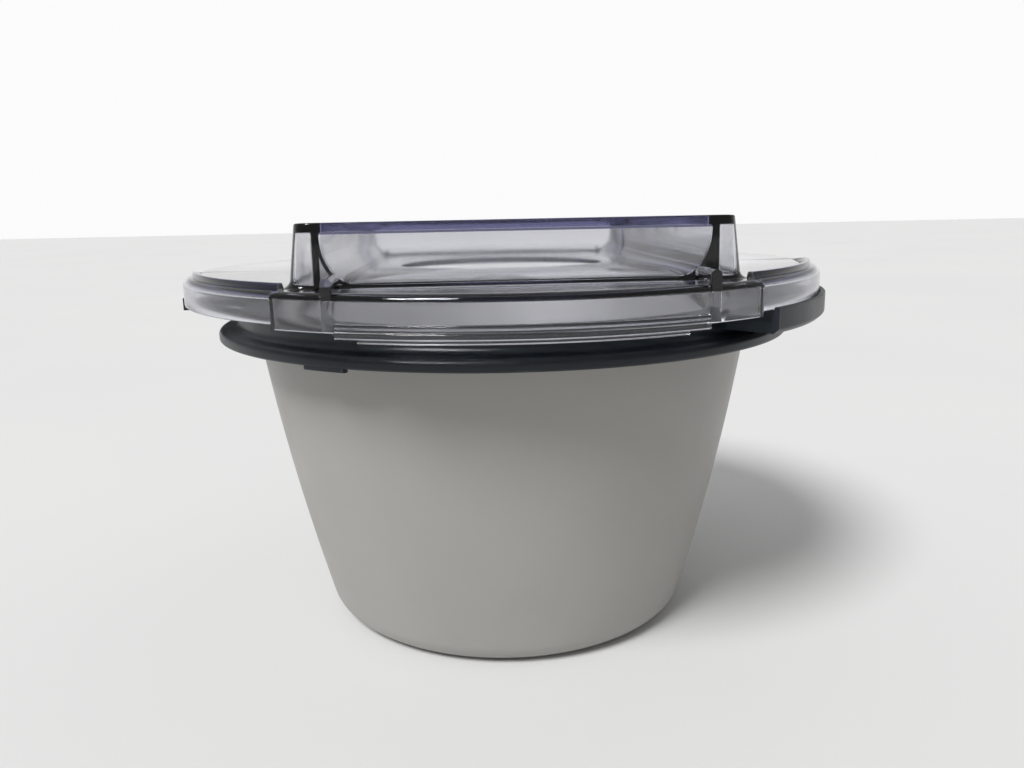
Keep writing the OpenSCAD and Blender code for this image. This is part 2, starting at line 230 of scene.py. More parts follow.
def boolean(obj, tool, operation):
    modifier = obj.modifiers.new("cut", "BOOLEAN")
    modifier.operation = operation
    modifier.object = tool
    modifier.solver = "EXACT"
    bpy.context.view_layer.update()
    apply_modifiers(obj)
    bpy.data.objects.remove(tool)
    return obj


# ---------------------------------------------------------------- materials


class Nodes:
    """A small helper for building a material's nodes."""

    def __init__(self, name):
        self.material = bpy.data.materials.new(name)
        self.material.use_nodes = True
        self.tree = self.material.node_tree
        self.shader = self.tree.nodes["Principled BSDF"]
        self.output = self.tree.nodes["Material Output"]
        self.coords = self.tree.nodes.new("ShaderNodeTexCoord").outputs["Object"]

    def add(self, kind, **values):
        node = self.tree.nodes.new(kind)
        for key, value in values.items():
            if key in node.inputs:
                node.inputs[key].default_value = value
            else:
                setattr(node, key, value)
        return node

    def link(self, a, b):
        self.tree.links.new(a, b)

    def noise(self, scale, detail=3, roughness=0.5, stretch=None):
        node = self.add("ShaderNodeTexNoise", Scale=scale, Detail=detail, Roughness=roughness)
        source = self.coords
        if stretch:
            mapping = self.add("ShaderNodeMapping", Scale=stretch)
            self.link(source, mapping.inputs["Vector"])
            source = mapping.outputs["Vector"]
        self.link(source, node.inputs["Vector"])
        return node.outputs["Fac"]

    def spread(self, source, low, high, from_low=0.3, from_high=0.7):
        node = self.add("ShaderNodeMapRange")
        node.inputs["From Min"].default_value = from_low
        node.inputs["From Max"].default_value = from_high
        node.inputs["To Min"].default_value = low
        node.inputs["To Max"].default_value = high
        self.link(source, node.inputs["Value"])
        return node.outputs["Result"]

    def mix(self, factor, a, b):
        node = self.add("ShaderNodeMix", data_type="RGBA")
        for socket, value in ((node.inputs[6], a), (node.inputs[7], b)):
            if isinstance(value, tuple):
                socket.default_value = value
            else:
                self.link(value, socket)
        if isinstance(factor, float):
            node.inputs[0].default_value = factor
        else:
            self.link(factor, node.inputs[0])
        return node.outputs[2]

    def multiply(self, a, b):
        node = self.add("ShaderNodeMath", operation="MULTIPLY")
        self.link(a, node.inputs[0])
        self.link(b, node.inputs[1])
        return node.outputs[0]

    def bump(self, height, strength, distance, normal=None):
        node = self.add("ShaderNodeBump", Strength=strength, Distance=distance)
        self.link(height, node.inputs["Height"])
        if normal is not None:
            self.link(normal, node.inputs["Normal"])
        return node.outputs["Normal"]

    def set(self, name, value):
        socket = self.shader.inputs[name]
        if isinstance(value, (float, tuple)):
            socket.default_value = value
        else:
            self.link(value, socket)


def moulded_plastic(name, base, worn, rough, grain, grain_scale=2600.0, specular=0.5):
    """Satin plastic: fine spark-eroded grain, faint flow marks, paler worn edges."""
    m = Nodes(name)
    patch = m.spread(m.noise(14.0, 4), 0.0, 1.0)
    low = tuple(c * 0.95 for c in base) + (1.0,)
    high = tuple(min(1.0, c * 1.04) for c in base) + (1.0,)
    colour = m.mix(patch, low, high)
    edge = m.add("ShaderNodeNewGeometry").outputs["Pointiness"]
    wear = m.spread(edge, 0.0, 0.55, 0.53, 0.62)
    colour = m.mix(wear, colour, worn + (1.0,))
    m.set("Base Color", colour)
    m.set("Roughness", m.spread(m.noise(60.0, 3), rough - 0.05, rough + 0.06))
    m.set("Specular IOR Level", specular)
    fine = m.bump(m.noise(grain_scale, 2, 0.6), grain, 0.00004)
    m.set("Normal", m.bump(m.noise(35.0, 2), 0.05, 0.0004, fine))
    return m.material


def rubber(name, base):
    m = Nodes(name)
    dust = m.spread(m.noise(220.0, 4, 0.65), 0.0, 0.5)
    m.set("Base Color", m.mix(dust, base + (1.0,), tuple(c * 1.7 for c in base) + (1.0,)))
    m.set("Roughness", m.spread(m.noise(300.0, 3), 0.6, 0.8))
    m.set("Normal", m.bump(m.noise(1800.0, 2), 0.35, 0.00005))
    return m.material


def turned_metal(name, base, rough, rings):
    """Spun or turned metal: fine rings about Z, with soft cloudy variation."""
    m = Nodes(name)
    cloud = m.spread(m.noise(30.0, 4), 0.0, 1.0)
    m.set("Base Color", m.mix(cloud, tuple(c * 0.92 for c in base) + (1.0,), base + (1.0,)))
    m.set("Metallic", 1.0)
    lines = m.noise(1.0, 2, 0.5, stretch=(40.0, 40.0, rings))
    m.set("Roughness", m.spread(lines, rough - 0.06, rough + 0.08))
    m.set("Normal", m.bump(lines, 0.12, 0.00006))
    return m.material


def clear_plastic(name):
    """Clear moulded plastic that shows its violet-grey tint through a long path, with painted shade: a dark violet band
    along the top of the well's front rim and a dark navy band on the front shoulder.
    """
    m = Nodes(name)
    split = m.add("ShaderNodeSeparateXYZ")
    m.link(m.coords, split.inputs[0])
    fall = m.add("ShaderNodeMath", operation="MULTIPLY_ADD")
    m.link(split.outputs["Y"], fall.inputs[0])
    fall.inputs[1].default_value = WELL_FALL / WELL_L
    m.link(split.outputs["Z"], fall.inputs[2])
    lid_r, plate, bulge_r, half, front, mid = lid_frame()
    rim_z = (plate + WELL_H + front * WELL_FALL / WELL_L) * MM
    # painted shade: the top 2.3-2.9 mm of the well's rim, at the front only, is painted dark violet where light is lost
    # along the rim's long path
    rim = m.spread(fall.outputs[0], 0.0, 1.0, rim_z - 2.9 * MM, rim_z - 2.3 * MM)
    rim_shade_front = m.spread(split.outputs["Y"], 1.0, 0.0, (front + 6) * MM, (front + 9) * MM)
    reach = m.add("ShaderNodeVectorMath", operation="LENGTH")
    flat = m.add("ShaderNodeCombineXYZ")
    m.link(split.outputs["X"], flat.inputs["X"])
    m.link(split.outputs["Y"], flat.inputs["Y"])
    m.link(flat.outputs[0], reach.inputs[0])
    # painted shade: the plate's outer edge beside the shoulder, from the well's front back to y -15..-40 mm, is painted
    # dark navy where light is trapped in the plate
    outer = m.spread(reach.outputs["Value"], 0.0, 1.0, (lid_r - SHOULDER_R - 2.6) * MM, (lid_r - SHOULDER_R - 2.2) * MM)
    high = m.spread(split.outputs["Z"], 0.0, 1.0, (plate - 0.6) * MM, (plate - 0.1) * MM)
    shoulder_shade_flank = m.spread(split.outputs["Y"], 0.0, 1.0, (front - 0.5) * MM, (front + 1.5) * MM)
    shoulder_shade_fore = m.spread(split.outputs["Y"], 1.0, 0.0, -40 * MM, -15 * MM)
    edge = m.multiply(m.multiply(outer, high), m.multiply(shoulder_shade_flank, shoulder_shade_fore))
    # base colour: white with both painted shade bands mixed in; the absorption below is the plastic's real tint
    tint_and_painted_shade = m.mix(m.multiply(rim, rim_shade_front), (1.0, 1.0, 1.0, 1.0), (0.16, 0.16, 0.36, 1.0))
    m.set("Base Color", m.mix(edge, tint_and_painted_shade, (0.07, 0.07, 0.17, 1.0)))
    m.set("IOR", 1.49)
    m.set("Transmission Weight", 1.0)
    m.set("Roughness", m.spread(m.noise(25.0, 3), 0.05, 0.11))
    m.set("Normal", m.bump(m.noise(18.0, 2), 0.03, 0.0006))
    tint_and_painted_shade = m.add("ShaderNodeVolumeAbsorption", Density=55.0, Color=(0.08, 0.09, 0.36, 1.0))
    m.link(tint_and_painted_shade.outputs["Volume"], m.output.inputs["Volume"])
    return m.material


def dress(obj, material):
    obj.data.materials.clear()
    obj.data.materials.append(material)
    return obj


def piece(obj, body, slot, material, *nodes):
    dress(obj, material)
    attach(obj, body)
    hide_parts(*nodes)
    return obj


# ---------------------------------------------------------------- bowl
FOOT_R = 67.8
FOOT_FILLET = 10.6
SIDE_BULGE = 1.6
SHELL_WALL = 2.5
LINER_WALL = 1.5
LINER_FILLET = 10.0
LINER_TAPER = 17.0


def cup_side(r0, r1, z0, z1, fillet, bulge, n=40):
    """Side of a cup from its rounded foot to its rim, as (radius, height) points."""
    a = math.atan((r1 - r0) / (z1 - z0)) + math.atan(4 * bulge / (z1 - z0))
    rc = r0 - fillet * (1 - math.sin(a)) / math.cos(a)
    foot = arc(rc, z0 + fillet, fillet, -90, -math.degrees(a), 14)
    x, z = foot[-1]
    side = [(x + (r1 - x) * t + 4 * bulge * t * (1 - t), z + (z1 - z) * t) for t in (i / n for i in range(1, n + 1))]
    return foot + side


def make_shell():
    """Outer shell with a soft lip at its top edge and a shallow dish under its foot."""
    r_top, h = SHELL_HIGH.x, SHELL_HIGH.z
    outer = cup_side(FOOT_R, r_top, 0, h, FOOT_FILLET, SIDE_BULGE)
    outer[-1] = (r_top - 0.3, h)
    outer.insert(-1, (r_top, h - 0.3))
    inner = cup_side(FOOT_R - SHELL_WALL, r_top - SHELL_WALL, SHELL_WALL, h, FOOT_FILLET - SHELL_WALL, SIDE_BULGE)
    plug_gap = 6.02
    dish = [(20.0, SHELL_WALL), (0.5, SHELL_WALL), (0.5, 0.0), (30.0, 0.0)]
    shell = lathe("bowl_shell", [(p[0], p[1]) for p in outer] + inner[::-1] + dish, 256)
    plug_y = span("fill_plug")[0].y + plug_gap
    hole = prism("hole", arc(0, plug_y, plug_gap, 0, 345, 23), -1, SHELL_WALL + 1)
    return boolean(shell, hole, "DIFFERENCE")


def make_liner():
    top = LINER_HIGH.z
    floor = LINER_LOW.z + LINER_WALL
    rim_r = LINER_HIGH.x
    r_top = SHELL_HIGH.x - SHELL_WALL - 9.4 - LINER_WALL
    r_low = r_top - LINER_TAPER
    inner = cup_side(r_low, r_top, floor, top, LINER_FILLET, 0)
    outer = cup_side(r_low + LINER_WALL, r_top + LINER_WALL, floor - LINER_WALL, top - LINER_WALL,
                     LINER_FILLET + LINER_WALL, 0)
    inner = inner[:-1] + arc(r_top + 1.2, top - 1.2, 1.2, 180, 90, 4)
    outline = inner + [(rim_r - 0.3, top), (rim_r, top - 0.4), (rim_r - 0.3, top - LINER_WALL)] + outer[::-1]
    outline += [(0.4, floor - LINER_WALL), (0.4, floor)]
    return lathe("bowl_liner", outline, 224)


def make_rim_cap():
    top, under = CAP_HIGH.z, CAP_HIGH.z - 2.6
    skirt = SHELL_HIGH.z + 0.8
    r_in = SHELL_HIGH.x - SHELL_WALL - 9.4 - LINER_WALL - 1.0
    r_out = SHELL_HIGH.x + 0.8
    tongue = SHELL_HIGH.x - SHELL_WALL - 1.6
    outline = rounded([
        (r_in, under, 0.5), (r_in, top, 1.0), (r_out, top, 0.8), (r_out, skirt, 0.3),
        (r_out - 3.3, skirt, 0.2), (r_out - 3.3, under, 0.2), (tongue, under, 0.2),
        (tongue, CAP_LOW.z, 0.5), (tongue - 1.6, CAP_LOW.z, 0.5), (tongue - 1.6, under, 0.2)])
    parts = [lathe("cap", outline, 224)]
    lug = rounded([(r_out - 0.5, under, 0.1), (r_out - 0.5, top - 0.4, 0.1), (r_out + 2.2, top - 0.4, 0.5),
                   (r_out + 2.2, under, 0.4)])
    for i in range(3):
        parts.append(lathe("lug", lug, 16, i * 120 - 7, i * 120 + 7))
    return join("bowl_rim", parts)


# ---------------------------------------------------------------- adapter ring
GRIP_SPAN = 58.0
TAB_ANGLE = -32.6
TAB_SPAN = 8.0


def make_ring():
    """Flange, wall and ledge in one turned section, with two hollow grips and two locating tabs."""
    flange_z = RING_LOW.z + 1.1
    seat = RING_HIGH.z - 0.9
    top = seat - 2.5
    cap_r = SHELL_HIGH.x + 0.8
    r_in = cap_r + 2.7
    r_out = r_in + 2.3
    flange_r = r_out + 7.4
    grip_r = RING_HIGH.x
    lid_r = LID_HIGH.x
    section = rounded([
        (r_in, flange_z, 0.4), (flange_r, flange_z, 0.9), (flange_r, flange_z + 3.7, 1.7),
        (r_out, flange_z + 4.3, 2.6), (r_out, top, 1.2), (cap_r - 7, top, 0.6), (cap_r - 7, top - 1.8, 0.4),
        (r_in, top - 1.8, 0.5)], 7)
    parts = [lathe("ring", section, 256)]
    bulge_half = math.degrees(math.asin(WELL_W / 2 / (lid_r + BULGE_OUT))) + 5.0
    grip = rounded([
        (r_out - 0.8, seat - 7.0, 0.2), (r_out + 2.3, seat - 7.0, 0.5), (r_out + 2.3, seat - 3.5, 0.8),
        (grip_r - 3, seat - 3.5, 0.8), (grip_r - 3, seat - 7.0, 0.5), (grip_r - 1.6, seat - 7.0, 0.6),
        (grip_r, seat - 5.6, 1.2), (grip_r, seat + 0.9, 0.45), (lid_r + 0.4, seat + 0.9, 0.3),
        (lid_r + 0.4, seat, 0.15), (r_out + 1.2, seat, 1.2), (r_out - 0.4, seat - 2.4, 0.2),
        (r_out - 0.8, seat - 2.4, 0.1)], 5)
    for side in (0, 180):
        start = side + bulge_half + 3
        parts.append(lathe("grip", grip, 72, start, start + GRIP_SPAN,
                           lowest=lambda t: seat - 7.5 + 4.0 * smooth_step((t - 0.78) / 0.2)))
        for end in (start + 0.7,):
            web = rounded([(r_out - 0.8, seat - 7.0, 0.3), (grip_r - 1.6, seat - 7.0, 0.6), (grip_r - 1.0, seat - 5.6, 0.8),
                           (grip_r - 1.0, seat - 1.0, 0.3), (r_out - 0.8, seat - 2.6, 0.3)], 3)
            parts.append(lathe("grip_end", web, 3, end - 0.62, end + 0.62))
        middle = TAB_ANGLE + side
        tab = rounded([(flange_r - 2.4, RING_LOW.z, 0.4), (flange_r - 0.15, RING_LOW.z, 0.4),
                       (flange_r - 0.15, flange_z + 1.2, 0.2), (flange_r - 2.4, flange_z + 1.2, 0.2)], 4)
        parts.append(lathe("tab", tab, 14, middle - TAB_SPAN / 2, middle + TAB_SPAN / 2))
    lug_z = CAP_HIGH.z - 2.6 - 0.4
    for i in range(3):
        lug = rounded([(cap_r + 0.5, lug_z - 2.2, 0.4), (r_in + 0.8, lug_z - 2.2, 0.1), (r_in + 0.8, lug_z, 0.1),
                       (cap_r + 0.5, lug_z, 0.3)], 3)
        parts.append(lathe("lug", lug, 16, i * 120 - 7, i * 120 + 7))
        stop = rounded([(cap_r + 0.5, lug_z - 2.2, 0.4), (r_in + 0.8, lug_z - 2.2, 0.1), (r_in + 0.8, top - 1.5, 0.1),
                        (cap_r + 0.5, top - 1.5, 0.3)], 3)
        parts.append(lathe("stop", stop, 4, i * 120 + 7.3, i * 120 + 9.3))
    return join("ring_moulding", parts)


# ---------------------------------------------------------------- lid
LID_WALL = 2.2
SKIRT_H = 9.5
SHOULDER_R = 3.0
BULGE_OUT = 2.5
BULGE_DROP = 1.0
WELL_W = 124.4
WELL_L = 155.0
FRONT_LAND = 7.3
WELL_H = 18.0
WELL_FALL = 8.0
WELL_CORNER = 5.0
WELL_FLARE = 1.7
WELL_DRAFT = 0.1
RIM_W = 7.1
RIM_T = 2.6
FOOT_RADIUS = 3.0
FOOT_END_RADIUS = 0.7
BULGE_SHOULDER_R = 2.0
COVE_W = 10.0
COVE_H = 13.6
OPENING_R = 38.0
LIP_W = 98.0
BEAD_H = 1.8
LIP_OUT = 1.6


def lid_frame():
    """Places that the lid's shapes share."""
    lid_r = LID_HIGH.x
    plate = LID_HIGH.z - WELL_H
    bulge_r = lid_r + BULGE_OUT
    half = WELL_W / 2
    front = -math.sqrt((bulge_r - FRONT_LAND) ** 2 - half ** 2)
    return lid_r, plate, bulge_r, half, front, front + WELL_L / 2


def rect_samples(corner=9, front=72, side=124, back=84):
    """Where each sample sits on a rounded rectangle: (kind, share), counter-clockwise from the front's left corner."""
    out = [("front", (i + 0.5) / front) for i in range(front)]
    out += [("c0", i / (corner - 1)) for i in range(corner)]
    out += [("right", (i + 0.5) / side) for i in range(side)]
    out += [("c1", i / (corner - 1)) for i in range(corner)]
    out += [("back", (i + 0.5) / back) for i in range(back)]
    out += [("c2", i / (corner - 1)) for i in range(corner)]
    out += [("left", (i + 0.5) / side) for i in range(side)]
    out += [("c3", i / (corner - 1)) for i in range(corner)]
    return out


def rect_point(sample, half, front, back, r):
    """The point of a rounded rectangle (half width, front and back y, corner radius) at a sample."""
    kind, t = sample
    r = max(r, 0.01)
    if kind == "front":
        return (-half + r + (2 * half - 2 * r) * t, front)
    if kind == "right":
        return (half, front + r + (back - front - 2 * r) * t)
    if kind == "back":
        return (half - r - (2 * half - 2 * r) * t, back)
    if kind == "left":
        return (-half, back - r - (back - front - 2 * r) * t)
    corner = int(kind[1])
    cx = (half - r) * (1, 1, -1, -1)[corner]
    cy = (front + r, back - r, back - r, front + r)[corner]
    a = math.radians(-90 + corner * 90 + 90 * t)
    return (cx + r * math.cos(a), cy + r * math.sin(a))


def smooth_step(t):
    t = min(1.0, max(0.0, t))
    return t * t * (3 - 2 * t)


def make_lid():
    """The clear moulding: turned skirt and plate with a front bulge, around a rectangular drive well."""
    lid_r, plate, bulge_r, half, front, mid = lid_frame()
    back = front + WELL_L
    bottom = plate - SKIRT_H
    fall = WELL_FALL / WELL_L
    bulge_half = math.degrees(math.asin(half / bulge_r)) + 5.0
    step_a = 1.6
    samples = rect_samples()
    base = [rect_point(s, half, front, back, WELL_CORNER) for s in samples]

    def on_circle(p, r):
        """Where the ray from the well's middle through p meets a circle about the axis."""
        dx, dy = p[0], p[1] - mid
        length = math.hypot(dx, dy)
        dx, dy = dx / length, dy / length
        along = mid * dy
        s = -along + math.sqrt(along * along - mid * mid + r * r)
        return (dx * s, mid + dy * s)

    def bulge_share(p):
        x, y = on_circle(p, lid_r)
        a = abs(math.degrees(math.atan2(x, -y)))
        return smooth_step((bulge_half - a) / step_a)

    shares = [bulge_share(p) for p in base]

    def circle(inset, height):
        """A loop of the skirt or shoulder, inset from its outer face; height may depend on the bulge's share."""
        return [(*on_circle(p, lid_r + BULGE_OUT * b - inset), height(b)) for p, b in zip(base, shares)]

    def rect(inset_side, inset_end, r, height):
        """A loop of the well; the height is a function of y."""
        points = [rect_point(s, half - inset_side, front + inset_end, back - inset_end, r) for s in samples]
        return [(x, y, height(y)) for x, y in points]

    def rim(drop):
        return lambda y: plate + WELL_H - (y - front) * fall - drop

    def level(z):
        return lambda _: z

    def bead_share(p, b):
        x, y = on_circle(p, lid_r)
        a = abs(math.degrees(math.atan2(x, -y)))
        return (1 - b) * (1 - smooth_step((a - 72) / 16))

    def foot(x):
        """Height where the foot fillet ends: tall beside the well, low in front of it and behind."""
        return plate + FOOT_END_RADIUS + (FOOT_RADIUS - FOOT_END_RADIUS) * smooth_step((abs(x) - half + 6) / 6)

    def shoulder(b):
        return SHOULDER_R + (BULGE_SHOULDER_R - SHOULDER_R) * b

    loops = []
    # skirt, from its inner bottom edge outwards and up
    edge = 0.45
    loops.append(circle(LID_WALL, lambda b: bottom - BULGE_DROP * b + 0.3))
    loops.append(circle(LID_WALL - 0.3, lambda b: bottom - BULGE_DROP * b))
    loops.append(circle(edge, lambda b: bottom - BULGE_DROP * b))
    loops.append(circle(edge * 0.3, lambda b: bottom - BULGE_DROP * b + edge * 0.3))
    loops.append(circle(0, lambda b: bottom - BULGE_DROP * b + edge))
    loops.append(circle(0, lambda b: bottom + 4.0))
    for dx, dz in arc(0, 0, 1, 0, 90, 8):
        loops.append([(*on_circle(p, lid_r + BULGE_OUT * b - shoulder(b) * (1 - dx)), plate - shoulder(b) * (1 - dz))
                      for p, b in zip(base, shares)])
    # raised bead along the plate's edge, which fades out behind
    for inset, rise in ((0.2, 0.0), (0.35, 0.75), (0.6, 1.0), (1.7, 1.0), (1.95, 0.75), (2.2, 0.0)):
        loops.append([(*on_circle(p, lid_r + BULGE_OUT * b - SHOULDER_R - inset),
                       plate + BEAD_H * rise * bead_share(p, b))
                      for p, b in zip(base, shares)])
    # plate, foot fillet and outer wall of the well
    for dx, dz in arc(0, 0, 1, -90, -180, 5):
        out = 1 + dx
        side_r, end_r = FOOT_RADIUS, FOOT_END_RADIUS
        points = [rect_point(s, half + WELL_FLARE + side_r * out, front - end_r * out, back + end_r * out,
                             WELL_CORNER + (side_r + end_r) / 2 * out) for s in samples]
        loops.append([(x, y, plate + (1 + dz) * (foot(x) - plate)) for x, y in points])
    draft_steps = 3
    for i in range(1, draft_steps + 1):
        share = i / draft_steps
        loops.append([(x, y, foot(x) + (z - 0.6 - foot(x)) * share)
                      for x, y, z in rect(WELL_FLARE * (share - 1) + WELL_DRAFT * share, WELL_DRAFT * share,
                                          WELL_CORNER - WELL_DRAFT * share, rim(0))])
    # rim: rounded outer edge, flat top, rounded inner edge
    for dx, dz in arc(0, 0, 0.6, 180, 90, 4)[1:]:
        inset = WELL_DRAFT + 0.6 + dx
        loops.append(rect(inset, inset, WELL_CORNER - WELL_DRAFT - 0.6 - dx, rim(0.6 - dz)))
    for dx, dz in arc(0, 0, 0.6, 90, 0, 4):
        loops.append(rect(RIM_W - 0.6 + dx, RIM_W - 0.6 + dx, 1.5, rim(0.6 - dz)))
    # ledge under the rim at front and back, then the inner walls
    end_wall = WELL_DRAFT + LID_WALL
    side_in = half - RIM_W
    loops.append(rect(RIM_W, RIM_W, 1.5, rim(RIM_T)))
    loops.append(rect(RIM_W, end_wall + 0.6, 1.2, rim(RIM_T)))
    loops.append(rect(RIM_W, end_wall, 1.0, rim(RIM_T + 0.6)))
    cove_top = plate + COVE_H + 0.4
    cove_steps = 14
    for i in range(cove_steps + 1):
        a = math.radians(90 * i / cove_steps)
        side = COVE_W * (1 - math.cos(a))
        drop = COVE_H * math.sin(a)
        end = 2.0 * max(0.0, (i - cove_steps * 0.5) / (cove_steps * 0.5)) ** 2
        z = cove_top - drop

        def lower(y, z=z):
            return min(z, rim(RIM_T + 0.6)(y) - 0.02)
        loops.append(rect(RIM_W + side, end_wall + end, 1.0, lower))
    # floor, opening and underside
    for inset, drop in ((0.0, 0.0), (-0.5, 0.15), (-0.7, 0.6), (-0.7, LID_WALL), (-0.4, LID_WALL + 0.3)):
        r = OPENING_R - inset - 0.7 if drop else OPENING_R
        loops.append([(*on_circle(p, r), plate - drop) for p in base])
    under = plate - LID_WALL
    loops.append([(*on_circle(p, OPENING_R + 0.6), under) for p in base])
    loops.append(rect(RIM_W + COVE_W, end_wall + 2, 1.0, level(under)))
    loops.append([(*on_circle(p, lid_r + BULGE_OUT * b - shoulder(b) - 0.5), under) for p, b in zip(base, shares)])
    for dx, dz in arc(0, 0, 1, 90, 0, 6):
        loops.append([(*on_circle(p, lid_r + BULGE_OUT * b - shoulder(b) + (shoulder(b) - LID_WALL) * dx),
                       plate - shoulder(b) + (shoulder(b) - LID_WALL) * dz) for p, b in zip(base, shares)])
    loops.append(circle(LID_WALL, lambda b: bottom + 4.0))
    lid = loft("lid_moulding", loops, 32)
    # the side walls are hollow: an upright slot and a three-sided duct, both open at the back
    wall_t = 1.8
    y0, y1 = front + 2.0, back + 4
    roof = plate + WELL_H - RIM_T
    low = plate + 0.8
    for s in (-1, 1):
        plans = []
        for z, x_out in ((low, half + WELL_FLARE - 1.5), (roof, half - WELL_DRAFT - 1.2)):
            x_in = side_in + wall_t
            plan = rounded([(x_in, y0, 0.5), (x_out, y0, 3.0), (x_out, y1, 0), (x_in, y1, 0)], 6)
            plans.append([(s * x, y, z - (fall * (y - front) if z == roof else 0)) for x, y in plan])
        n = len(plans[0])
        tool = link_mesh("slot", plans[0] + plans[1], [tuple(range(n)), tuple(range(2 * n - 1, n - 1, -1))]
                         + [(k, (k + 1) % n, n + (k + 1) % n, n + k) for k in range(n)])
        boolean(lid, tool, "DIFFERENCE")
        duct = []
        for i in range(13):
            a = math.radians(22 + 56 * i / 12)
            x = side_in - COVE_W * (1 - math.cos(a)) + 0.8 * math.cos(a)
            duct.append((s * min(x, side_in - 0.05), cove_top - COVE_H * math.sin(a) - 0.8 * math.sin(a)))
        duct = [(x, max(z, low)) for x, z in duct] + [(s * (side_in - 0.05), low)]
        boolean(lid, prism("duct", duct, y0, y1, "Y"), "DIFFERENCE")
    add_ribs(lid)
    add_lip(lid)
    shade(lid, 32)
    return lid


def add_ribs(lid):
    """Two upright ribs with arched tops that brace the well's front against the skirt."""
    lid_r, plate, bulge_r, half, front, mid = lid_frame()
    bottom = plate - SKIRT_H - BULGE_DROP
    x0 = half - 10.8
    width = 3.0
    face = -math.sqrt(bulge_r ** 2 - x0 ** 2) - 0.55
    top = plate + 4.0
    for s in (-1, 1):
        arch = [(s * x0 - width / 2, bottom + 0.5), (s * x0 + width / 2, bottom + 0.5)]
        arch += arc(s * x0, top - width / 2, width / 2, 0, 180, 10)
        fin = prism("fin", arch, face, face + 1.4, "Y")
        boolean(lid, fin, "UNION")
        brace = [(s * x0 - width / 2, plate - 1.6), (s * x0 + width / 2, plate - 1.6)]
        brace += arc(s * x0, top - width / 2, width / 2, 0, 180, 10)
        boolean(lid, prism("brace", brace, face + 0.7, front + 1.0, "Y"), "UNION")


def add_lip(lid):
    """Stepped and rounded lip for lifting the lid."""
    lid_r, plate, bulge_r, half, front, mid = lid_frame()
    top = plate - SKIRT_H + 1.8
    reach = bulge_r + LIP_OUT
    inner = bulge_r - 1.2
    upper = rounded([(inner, top - 4.0, 0.2), (reach, top - 4.0, 0.5), (reach, top - 2.3, 0.4), (reach - 0.6, top - 2.0, 0.2),
                     (reach - 0.6, top - 1.3, 0.2), (reach - 0.2, top - 1.0, 0.2), (reach - 0.2, top, 0.5),
                     (inner, top + 0.2, 0.2)], 4)
    a = math.degrees(math.asin(LIP_W / 2 / bulge_r))
    boolean(lid, lathe("lip", upper, 56, -a, a), "UNION")
    lower = rounded([(bulge_r - 1.0, top - 5.1, 0.4), (reach - 1.0, top - 5.1, 0.4), (reach - 1.0, top - 3.7, 0.1),
                     (bulge_r - 1.0, top - 3.7, 0.1)], 4)
    boolean(lid, lathe("step", lower, 48, -a + 3.0, a - 3.0), "UNION")


# ---------------------------------------------------------------- stirrer


def make_paddle():
    """Hub with two framed blades; the side bars follow the liner's wall."""
    low, high = PADDLE_LOW.z, PADDLE_HIGH.z
    hub_r = 11.0
    gap = 1.2
    floor = LINER_LOW.z + LINER_WALL
    liner_top = LINER_HIGH.z
    r_top = SHELL_HIGH.x - SHELL_WALL - 9.4 - LINER_WALL

    def liner_r(z):
        return r_top - LINER_TAPER + LINER_TAPER * (z - floor) / (liner_top - floor)

    blade_top = high - 4
    hub = rounded([(6.1, low, 0.3), (hub_r, low, 1.0), (hub_r, high, 1.2), (8.05, high, 0.4), (8.05, low + 14, 0.3),
                   (6.1, low + 12, 0.2)], 5)
    parts = [lathe("hub", hub, 96)]
    side = cup_side(r_top - LINER_TAPER - gap, liner_r(blade_top) - gap, low, blade_top, LINER_FILLET, 0, 12)
    bar = 14.0
    z0, z1 = low + 14, blade_top - 12
    outer = [(hub_r - 3, low)] + side + [(hub_r - 3, blade_top)]
    window = rounded([(hub_r + 4, z0, 5), (liner_r(z0) - gap - bar, z0, 8), (liner_r(z1) - gap - bar, z1, 8),
                      (hub_r + 4, z1, 5)], 6)
    for sign in (1, -1):
        blade = prism("blade", [(sign * x, z) for x, z in outer], -1.8, 1.8, "Y")
        cut = prism("window", [(sign * x, z) for x, z in window], -3, 3, "Y")
        boolean(blade, cut, "DIFFERENCE")
        bevel = blade.modifiers.new("bevel", "BEVEL")
        bevel.width = 0.8 * MM
        bevel.segments = 3
        bevel.limit_method = "ANGLE"
        bevel.angle_limit = math.radians(50)
        bpy.context.view_layer.update()
        apply_modifiers(blade)
        parts.append(blade)
    return join("paddle", parts)


def make_coupling():
    """Turned driver with a chamfered socket and a collar that sits on the hub."""
    low, high = COUPLING_LOW.z, COUPLING_HIGH.z
    collar = PADDLE_HIGH.z
    outline = rounded([
        (0.4, low, 0), (8.0, low, 0.5), (8.0, collar, 0.1), (10.5, collar, 0.4), (10.5, collar + 2, 0.6),
        (8.0, collar + 2, 0.5), (8.0, high, 0.8), (5.0, high, 0.7), (5.0, high - 14, 0.3), (0.4, high - 14, 0)], 4)
    return lathe("driver", outline, 96)


def make_gasket():
    low, high = GASKET_LOW.z, GASKET_HIGH.z
    r = GASKET_HIGH.x
    middle = (low + high) / 2
    outline = [(r, low), (r, middle), (r, high), (r - 5, high), (r - 5, low)]
    return lathe("gasket", rounded([(x, z, 0.25) for x, z in outline], 3), 192)


